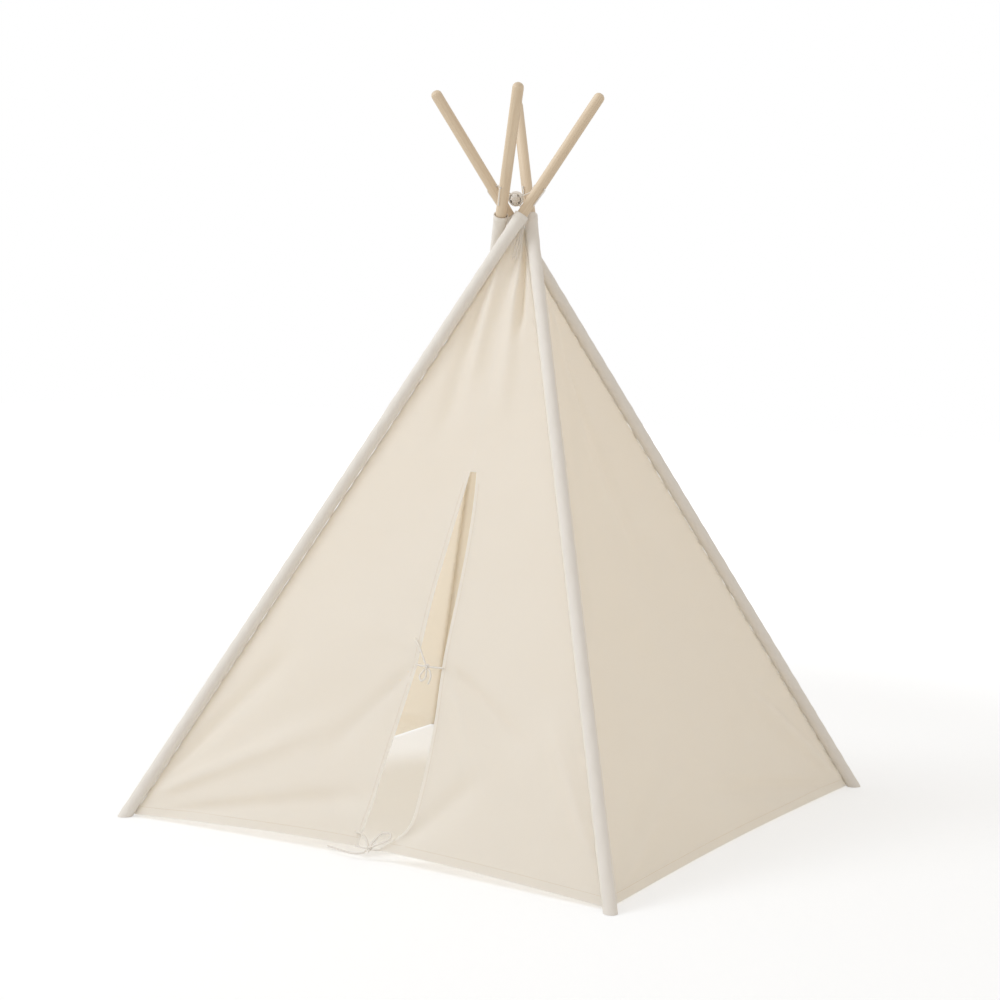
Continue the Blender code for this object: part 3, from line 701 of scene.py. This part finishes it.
def sew(name, lines):
    """The stitches along several lines, as one mesh."""
    mesh = bpy.data.meshes.new(name)
    verts, edges = [], []
    for line in lines:
        edges += [(len(verts) + i, len(verts) + i + 1) for i in range(len(line) - 1)]
        verts += [tuple(place) for place in line]
    mesh.from_pydata(verts, edges, [])
    guide = bpy.data.objects.new(name, mesh)
    bpy.context.scene.collection.objects.link(guide)
    worker = guide.modifiers.new("sew", "NODES")
    worker.node_group = sewing
    sizes = {"Pitch": STITCH_PITCH, "Length": STITCH_LENGTH, "Thickness": STITCH_THICKNESS / 2}
    for socket in sewing.interface.items_tree:
        if socket.in_out == "INPUT" and socket.name in sizes:
            worker[socket.identifier] = sizes[socket.name]
    made = bpy.data.meshes.new_from_object(guide.evaluated_get(bpy.context.evaluated_depsgraph_get()))
    guide.modifiers.clear()
    guide.data = made
    made.name = name
    return guide


SEAM_SURFACE = CANVAS / 2 + STITCH_THICKNESS * 0.2
HEM_SURFACE = SEAM_SURFACE + HEM_STEP
SEAM_FROM_EDGE = 0.0045
SEAM_STEP = 0.02
for (wall, side), (sheet, area) in canvas_pieces.items():
    k = WALLS.index(wall)
    where = front_place if k == 0 else lambda share, z, off, k=k: on_wall(k, share, z, off)
    seam, hem, slit = [], [], []
    for z in np.arange(HEM_HEIGHT + 0.004, WALL_TOP_HEIGHT, SEAM_STEP):
        reach = edge_share(k, z) + SEAM_FROM_EDGE / wall_width(k, z)
        seam.append(where(reach if side == "left" else 1 - reach, z, SEAM_SURFACE))
    z = HEM_HEIGHT + HEM_BAND * 0.86
    first, last = edge_share(k, z), 0.5
    if k == 0:
        last = across_share(slit_x(z) + (slit_width(z) if side == "right" else 0), z)
        last = last if side == "left" else 1 - last
    for share in np.linspace(first, last - SLIT_HEM / 2 / wall_width(k, z), 60):
        hem.append(where(share if side == "left" else 1 - share, z, HEM_SURFACE))
    lines = [seam, hem]
    if k == 0:
        for z in np.arange(HEM_HEIGHT + HEM_BAND, SLIT_TOP - 0.012, SEAM_STEP):
            x = slit_x(z) + (slit_width(z) + SLIT_HEM * 0.8 if side == "right" else -SLIT_HEM * 0.8)
            slit.append(where(across_share(x, z), z, HEM_SURFACE))
        lines.append(slit)
    stitches = sew(f"stitches_{wall}_{side}", lines)
    for piece in (sheet, stitches):
        if k == 0:
            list(flap_fold(side))
            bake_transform(piece)
        else:
            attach(piece, f"{wall}_wall_{side}")
    nodes = [f"{wall}_wall_{side}_half"] + ([f"door_flap_{side}"] if k == 0 else [])
    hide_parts(*nodes)
    carried = CORNERS[k] if side == "left" else CORNERS[(k + 1) % 4]

for number, (corner, pole) in enumerate(zip(CORNERS, poles)):
    ring = [pocket_skin(pole, number, pocket_top - MOUTH_HEM * 0.8, angle, False)
            for angle in np.linspace(0, 2 * pi, 48)]
    stitches = sew(f"stitches_mouth_{corner}", [ring])
    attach(stitches, f"pole_{corner}")

# Cords
# Braided cotton cord, off-white. From one knot between the poles a strand runs through each pole's hole,
# and two loose ends hang down the door wall. Thicker braid, sewn to the flaps, is tied across the slit
# twice.
LACE_DIAMETER, LACE_KNOT_DIAMETER, LACE_KNOT_HEIGHT = 0.003, 0.035, 1.375
STRAND_RUN, STRAND_END = 0.018, 0.044
TAIL_HEIGHTS = (1.335, 1.305, 1.275, 1.240)
TAIL_SPACINGS = (0.0038, 0.0045, 0.006, 0.0072)
TAIL_STANDOFF = 0.0075
TAIL_LEAVE_SHARES = ((0.6, -0.2, -0.75), (0.6, 0.2, -0.75))
TIE_DIAMETER, TIE_KNOT_DIAMETER, TIE_STANDOFF = 0.004, 0.014, 0.0085
UPPER_TIE_HEIGHT, LOWER_TIE_HEIGHT = 0.368, 0.006
UPPER_KNOT_REACH, LOWER_KNOT_REACH = 0.032, 0.034
TIE_ANCHOR = 0.006
GAP = 0.0003
CORD_SIDES = 14
ROUTE_POINTS = {"strand": 40, "tail": 60, "tie": 56, "tie side": 30}
PLAIT_PITCH, PLAIT_TURNS = 0.0026, 3
BRAID_LIGHT, BRAID_PAINTED_SHADE, BRAID_FUZZ = (0.95, 0.91, 0.85), (0.80, 0.74, 0.66), (0.86, 0.80, 0.72)
# The lacing knot is wound three ways: the axis and the radius of each layer, and its turns side by side.
KNOT_WINDS = (((0.25, 0.1, 1), 0.0112), ((1, 0.3, 0.1), 0.0134), ((-0.2, 1, 0.35), 0.0156))
KNOT_ROWS, KNOT_ROW_PITCH, KNOT_CORD = (-1.5, -0.5, 0.5, 1.5), LACE_DIAMETER * 1.02, LACE_DIAMETER * 1.15
TREFOIL_POINTS, TREFOIL_DEPTH = 90, 1.6
CAP_SIZES = [sin(pi / 2 * share) for share in (0.35, 0.7)]
CURVE_STEPS = 28

braid = Finish("cotton_braid", 0.85)
braid_flat = braid.node("UVMap", {"uv_map": "cloth"}, {})
braid_u, braid_v = (braid.node("SeparateXYZ", {}, {0: braid_flat}, way) for way in (0, 1))
right_hand = ((braid_u * (2 * pi / PLAIT_PITCH) + braid_v * (2 * pi * PLAIT_TURNS)).wave() * 0.5 + 0.5)
left_hand = ((braid_u * (2 * pi / PLAIT_PITCH) - braid_v * (2 * pi * PLAIT_TURNS)).wave() * 0.5 + 0.5)
plait = right_hand.maths("MAXIMUM", right_hand, left_hand)
fuzz = braid.noise(braid.joined(braid_u * 1400, braid_v * 9, 0.0), 1.0, 3.0)
# The furrows between the plait's strands get a darker colour: painted shade. The ridges keep the cord's own
# off-white.
braid_colour = braid.mix(plait, BRAID_PAINTED_SHADE, BRAID_LIGHT)
braid.paint("Base Color", braid.mix(fuzz * 0.35, braid_colour, BRAID_FUZZ))
braid.bump(plait * 0.8 + fuzz * 0.25, 0.0005)
braid.shader.inputs["Sheen Weight"].default_value = 0.2


def smooth_route(corners, count):
    """Evenly spaced points on a smooth curve through the route's own points."""
    ends = [corners[0] * 2 - corners[1], *corners, corners[-1] * 2 - corners[-2]]
    fine = []
    for a, b, c, d in zip(ends, ends[1:], ends[2:], ends[3:]):
        for step in range(CURVE_STEPS):
            t = step / CURVE_STEPS
            fine.append(((b * 2) + (c - a) * t + (a * 2 - b * 5 + c * 4 - d) * t**2
                         + (b * 3 - a - c * 3 + d) * t**3) / 2)
    fine.append(corners[-1].copy())
    along = [0]
    for p, q in zip(fine, fine[1:]):
        along.append(along[-1] + (q - p).length)
    route, i = [], 0
    for step in range(count):
        want = along[-1] * step / (count - 1)
        while i < len(fine) - 2 and along[i + 1] < want:
            i += 1
        route.append(fine[i].lerp(fine[i + 1], (want - along[i]) / (along[i + 1] - along[i])))
    return route


def cord_mesh(name, routes, diameter, closed=False):
    """One mesh of braided cord along each route, with rounded ends."""
    shape = bmesh.new()
    chart = shape.loops.layers.uv.new("cloth")
    for route in routes:
        count = len(route)
        ways = []
        for i in range(count):
            if closed:
                ways.append((route[(i + 1) % count] - route[i - 1]).normalized())
            else:
                ways.append((route[min(i + 1, count - 1)] - route[max(i - 1, 0)]).normalized())
        side = ways[0].orthogonal().normalized()
        rings, runs, total = [], [], 0
        sections = [(i, 1.0, 0.0) for i in range(count)]
        if not closed:
            step = diameter * 0.10
            sections[:1] = [(0, CAP_SIZES[0], 0.0), (0, CAP_SIZES[1], step)]
            sections[-1:] = [(count - 1, CAP_SIZES[1], -step), (count - 1, CAP_SIZES[0], 0.0)]
        last = route[0]
        for i, size, shift in sections:
            way = ways[i]
            side = (side - way * side.dot(way)).normalized()
            other = way.cross(side)
            centre = route[i] + way * shift
            total += (centre - last).length
            last = centre
            rings.append([shape.verts.new(centre + (side * cos(a) + other * sin(a)) * diameter / 2 * size)
                          for a in np.linspace(0, 2 * pi, CORD_SIDES, endpoint=False)])
            runs.append(total)
        pairs = list(zip(range(len(rings)), range(1, len(rings))))
        if closed:
            pairs.append((len(rings) - 1, 0))
            turn = min(range(CORD_SIDES), key=lambda s: (rings[-1][0].co - rings[0][s].co).length)
        for i, n in pairs:
            shift = turn if closed and n == 0 else 0
            top = runs[n] if n else runs[i] + (runs[1] - runs[0])
            for j in range(CORD_SIDES):
                m = (j + 1) % CORD_SIDES
                face = shape.faces.new((rings[i][j], rings[i][m], rings[n][(m + shift) % CORD_SIDES],
                                        rings[n][(j + shift) % CORD_SIDES]))
                corners = ((runs[i], j), (runs[i], j + 1), (top, j + 1), (top, j))
                for loop, (u, v) in zip(face.loops, corners):
                    loop[chart].uv = (u, v / CORD_SIDES)
        if not closed:
            shape.faces.new(reversed(rings[0]))
            shape.faces.new(rings[-1])
    bmesh.ops.recalc_face_normals(shape, faces=shape.faces)
    mesh = bpy.data.meshes.new(name)
    shape.to_mesh(mesh)
    shape.free()
    mesh.materials.append(braid.material)
    mesh.shade_smooth()
    cord = bpy.data.objects.new(name, mesh)
    bpy.context.scene.collection.objects.link(cord)
    return cord


def leave_knot(centre, toward, knot_diameter, diameter):
    way = (toward - centre).normalized()
    start = centre + way * (knot_diameter / 2 + GAP)
    return [start, start + way * diameter]


def route_length(route):
    return sum((q - p).length for p, q in zip(route, route[1:]))


def circle(centre, axis, radius, count):
    one = axis.orthogonal().normalized()
    two = axis.cross(one)
    angles = (2 * pi * i / count for i in range(count))
    return [centre + (one * cos(a) + two * sin(a)) * radius for a in angles]


knot_centre = Vector((0, 0, LACE_KNOT_HEIGHT))
turns = []
for way, shell in KNOT_WINDS:
    axis = Vector(way).normalized()
    for row in KNOT_ROWS:
        off = row * KNOT_ROW_PITCH
        turns.append(circle(knot_centre + axis * off, axis, sqrt(shell**2 - off**2), 40))
lacing_knot = cord_mesh("braid_lacing_knot", turns, KNOT_CORD, closed=True)
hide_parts("lacing_knot")
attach(lacing_knot, "lacing")
for corner, pole in zip(CORNERS, poles):
    hole = pole.at_height(LACE_HOLE_HEIGHT)
    side = POLE_DIAMETER / 2
    way, near, far = pole.hole_way, side + LACE_DIAMETER / 2 + GAP, side + LACE_DIAMETER * 1.5
    beside = hole + way * (side + LACE_DIAMETER) - pole.up * STRAND_RUN
    bore_run = [beside, hole + way * far, hole + way * side, hole, hole - way * side, hole - way * far]
    for share in (0.35, 0.7, 1):
        bore_run.append(hole - way * (far + (near - far) * share) - pole.up * STRAND_END * share)
    leave = leave_knot(knot_centre, beside, LACE_KNOT_DIAMETER, LACE_DIAMETER)
    fine = smooth_route([*leave, *bore_run], ROUTE_POINTS["strand"])
    strand = cord_mesh(f"braid_strand_{corner}", [fine], LACE_DIAMETER)
    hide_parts(f"lacing_strand_{corner}")
    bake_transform(strand)
for number, hand in enumerate(("left", "right")):
    toward = knot_centre + Vector(TAIL_LEAVE_SHARES[number])
    route = leave_knot(knot_centre, toward, LACE_KNOT_DIAMETER, LACE_DIAMETER)
    for z, spacing in zip(TAIL_HEIGHTS, TAIL_SPACINGS):
        flat, outward, rise = wall_frame(0, 0.5, z)
        across = (poles[1].at_height(z) - poles[0].at_height(z)).normalized()
        place = flat + outward * TAIL_STANDOFF + across * spacing * (number - 0.5)
        route.append(place + rise * (z - place.z))
    fine = smooth_route(route, ROUTE_POINTS["tail"])
    tail = cord_mesh(f"braid_tail_{hand}", [fine], LACE_DIAMETER)
    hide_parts(f"lacing_tail_{hand}")
    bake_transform(tail)
    route_length(fine)


def tie_point(x, z, off=TIE_STANDOFF, detail=False):
    """A point off metres in front of the door wall, x metres right of the slit's left edge."""
    return front_place(across_share(slit_x(z) + x, z), z, off, detail)


upper_knot = (UPPER_KNOT_REACH, UPPER_TIE_HEIGHT)
lower_knot = (LOWER_KNOT_REACH, LOWER_TIE_HEIGHT)
# Each loose route from its knot, in cord diameters to the right and up the wall.
TIE_ROUTE_SHARES = {
    "upper_tie_loop": (upper_knot, ((-1.9, -3.2), (-2.7, -5.4), (-0.8, -7.4), (1.0, -5.6), (0.8, -3.2))),
    "upper_tie_end_long": (upper_knot, ((-2.6, 2.8), (-6.2, 7.4), (-11.5, 13.4))),
    "upper_tie_end_short": (upper_knot, ((2.8, -2.2), (4.2, -5.0), (3.8, -8.6))),
    "lower_tie_end_long": (lower_knot, ((-3.2, -2.4), (-9, -3.4), (-17, -3.0), (-26, -2.1))),
    "lower_tie_end_short": (lower_knot, ((-3.0, 3.6), (-6.5, 6.0), (-12.3, 7.0))),
    "lower_tie_loop": (lower_knot, ((0.9, 3.4), (4.6, 8.2), (10.2, 8.8), (9.6, 5.6), (3.4, 2.4))),
}


def from_knot(knot, x, z):
    return leave_knot(tie_point(*knot), tie_point(x, z), TIE_KNOT_DIAMETER, TIE_DIAMETER)


for name, (knot, places) in TIE_ROUTE_SHARES.items():
    spots = [(knot[0] + x * TIE_DIAMETER, knot[1] + z * TIE_DIAMETER) for x, z in places]
    corners = [*from_knot(knot, *spots[0]), *(tie_point(*spot) for spot in spots)]
    if "loop" in name:
        corners += reversed(from_knot(knot, *spots[-1]))
    fine = smooth_route(corners, ROUTE_POINTS["tie"])
    tie = cord_mesh(f"braid_{name}", [fine], TIE_DIAMETER)
    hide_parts(name)
    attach(tie, "door_left")
    route_length(fine)
for name, knot in (("upper_tie", upper_knot), ("lower_tie", lower_knot)):
    centre = tie_point(*knot)
    outward = wall_frame(0, 0.5, knot[1])[1]
    across = Vector((1, 0, 0))
    upward = outward.cross(across).normalized()
    size = (TIE_KNOT_DIAMETER - TIE_DIAMETER) / 2 / 3
    loop = []
    for i in range(TREFOIL_POINTS):
        t = 2 * pi * i / TREFOIL_POINTS
        flat_part = across * (sin(t) + 2 * sin(2 * t)) + upward * (cos(t) - 2 * cos(2 * t))
        loop.append(centre + (flat_part - outward * sin(3 * t) * TREFOIL_DEPTH) * size)
    knot_piece = cord_mesh(f"braid_{name}_knot", [loop], TIE_DIAMETER, closed=True)
    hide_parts(f"{name}_knot")
    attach(knot_piece, "door_left")
    z = knot[1]
    for side, x in (("left", -TIE_ANCHOR), ("right", slit_width(z) + TIE_ANCHOR)):
        sewn = tie_point(x, z, CANVAS / 2 + TIE_DIAMETER / 2 + GAP, True)
        fine = smooth_route([sewn, *reversed(from_knot(knot, x, z))], ROUTE_POINTS["tie side"])
        tie = cord_mesh(f"braid_{name}_{side}", [fine], TIE_DIAMETER)
        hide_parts(f"{name}_{side}")
        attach(tie, f"door_{side}")

# Studio
# A plain white floor and background, an even warm fill and one broad lamp high at the front left. The
# floor glows to the camera away from the tent, so that it fades to white, and keeps its shadow near by.
# Its glow is weakest in a soft disc under the tent, which paints a soft shadow there in any pose.
FLOOR_REACH, FLOOR_DROP = 14.0, 0.0006
FLOOR_GLOW = 1.25
PAINTED_SHADE_REACH, FADE_REACH = (0.35, 0.62), (1.5, 3.6)
PAINTED_SHADE_SHARE, NEAR_SHARE, FAR_SHARE = 0.15, 0.25, 0.60
FILL_COLOUR, FILL_STRENGTH = (1.0, 0.965, 0.925), 0.69
KEY_PLACE, KEY_AIM, KEY_COLOUR = (-3.2, -2.9, 5.3), (0, 0, 0.6), (0.93, 1.0, 1.09)
KEY_SIZE, KEY_POWER = 2.4, 138
floor_shape = bmesh.new()
bmesh.ops.create_grid(floor_shape, x_segments=2, y_segments=2, size=FLOOR_REACH)
floor_mesh = bpy.data.meshes.new("studio_floor")
floor_shape.to_mesh(floor_mesh)
floor_shape.free()
floor = bpy.data.objects.new("studio_floor", floor_mesh)
floor.location.z = -FLOOR_DROP
bpy.context.scene.collection.objects.link(floor)
sweep = Finish("studio_white", 0.9)
sweep.paint("Base Color", (0.91, 0.91, 0.90))
sweep_place = sweep.node("TexCoord", {}, {}, 3)
reach = sweep.node("VectorMath", {"operation": "LENGTH"}, {0: sweep_place}, 1)
camera_ray = sweep.node("LightPath", {}, {}, 0)
glow = sweep.tree.nodes.new("ShaderNodeEmission")
glow.inputs["Strength"].default_value = FLOOR_GLOW
blend = sweep.tree.nodes.new("ShaderNodeMixShader")
# The least glow is within the disc under the tent: a painted soft shadow.
floor_share = reach.step(*PAINTED_SHADE_REACH) * NEAR_SHARE + reach.step(*FADE_REACH) * FAR_SHARE + PAINTED_SHADE_SHARE
sweep.feed(blend.inputs[0], floor_share * camera_ray)
sweep.tree.links.new(sweep.shader.outputs[0], blend.inputs[1])
sweep.tree.links.new(glow.outputs[0], blend.inputs[2])
sweep.tree.links.new(blend.outputs[0], sweep.tree.nodes["Material Output"].inputs["Surface"])
floor_mesh.materials.append(sweep.material)
floor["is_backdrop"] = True

world = bpy.data.worlds.new("studio")
bpy.context.scene.world = world
world.use_nodes = True
nodes, links = world.node_tree.nodes, world.node_tree.links
fill = nodes["Background"]
fill.inputs["Color"].default_value = (*FILL_COLOUR, 1)
fill.inputs["Strength"].default_value = FILL_STRENGTH
white = nodes.new("ShaderNodeBackground")
white.inputs["Color"].default_value = (1, 1, 1, 1)
paths = nodes.new("ShaderNodeLightPath")
seen = nodes.new("ShaderNodeMath")
seen.operation = "MAXIMUM"
links.new(paths.outputs["Is Camera Ray"], seen.inputs[0])
links.new(paths.outputs["Is Glossy Ray"], seen.inputs[1])
seen_all = nodes.new("ShaderNodeMath")
seen_all.operation = "MAXIMUM"
links.new(seen.outputs[0], seen_all.inputs[0])
links.new(paths.outputs["Is Transmission Ray"], seen_all.inputs[1])
choice = nodes.new("ShaderNodeMixShader")
links.new(seen_all.outputs[0], choice.inputs[0])
links.new(fill.outputs[0], choice.inputs[1])
links.new(white.outputs[0], choice.inputs[2])
links.new(choice.outputs[0], nodes["World Output"].inputs["Surface"])


def lamp(name, place, aim, size, power, colour):
    """A square soft light that faces a point."""
    data = bpy.data.lights.new(name, "AREA")
    data.shape, data.size, data.energy, data.color = "SQUARE", size, power, colour
    light = bpy.data.objects.new(name, data)
    light.location = place
    light.rotation_euler = (Vector(aim) - Vector(place)).to_track_quat("-Z", "Y").to_euler()
    bpy.context.scene.collection.objects.link(light)


lamp("key", KEY_PLACE, KEY_AIM, KEY_SIZE, KEY_POWER, KEY_COLOUR)

# Camera
# A long lens at chest height, in front of the door and to its right, with the horizon turned one degree.
VIEW_PLACE = (2.3107, -3.7750, 1.120)
VIEW_WAY = (-0.52429, 0.84619, -0.09530)
VIEW_ROLL = 1.0
FOCAL_PIXELS, FRAME_PIXELS = 1955, 1000
camera_data = bpy.data.cameras.new("camera")
camera_data.sensor_width = 36
camera_data.lens = 36 * FOCAL_PIXELS / FRAME_PIXELS
camera = bpy.data.objects.new("camera", camera_data)
bpy.context.scene.collection.objects.link(camera)
away = Vector(VIEW_WAY).normalized()
level = away.cross(Vector((0, 0, 1))).normalized()
lift = level.cross(away)
roll = radians(VIEW_ROLL)
across, above = level * cos(roll) + lift * sin(roll), lift * cos(roll) - level * sin(roll)
camera.matrix_world = Matrix.Translation(VIEW_PLACE) @ Matrix((across, above, -away)).transposed().to_4x4()
bpy.context.scene.camera = camera
bpy.context.scene.view_settings.view_transform = "Standard"

bpy.context.view_layer.update()
low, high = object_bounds()
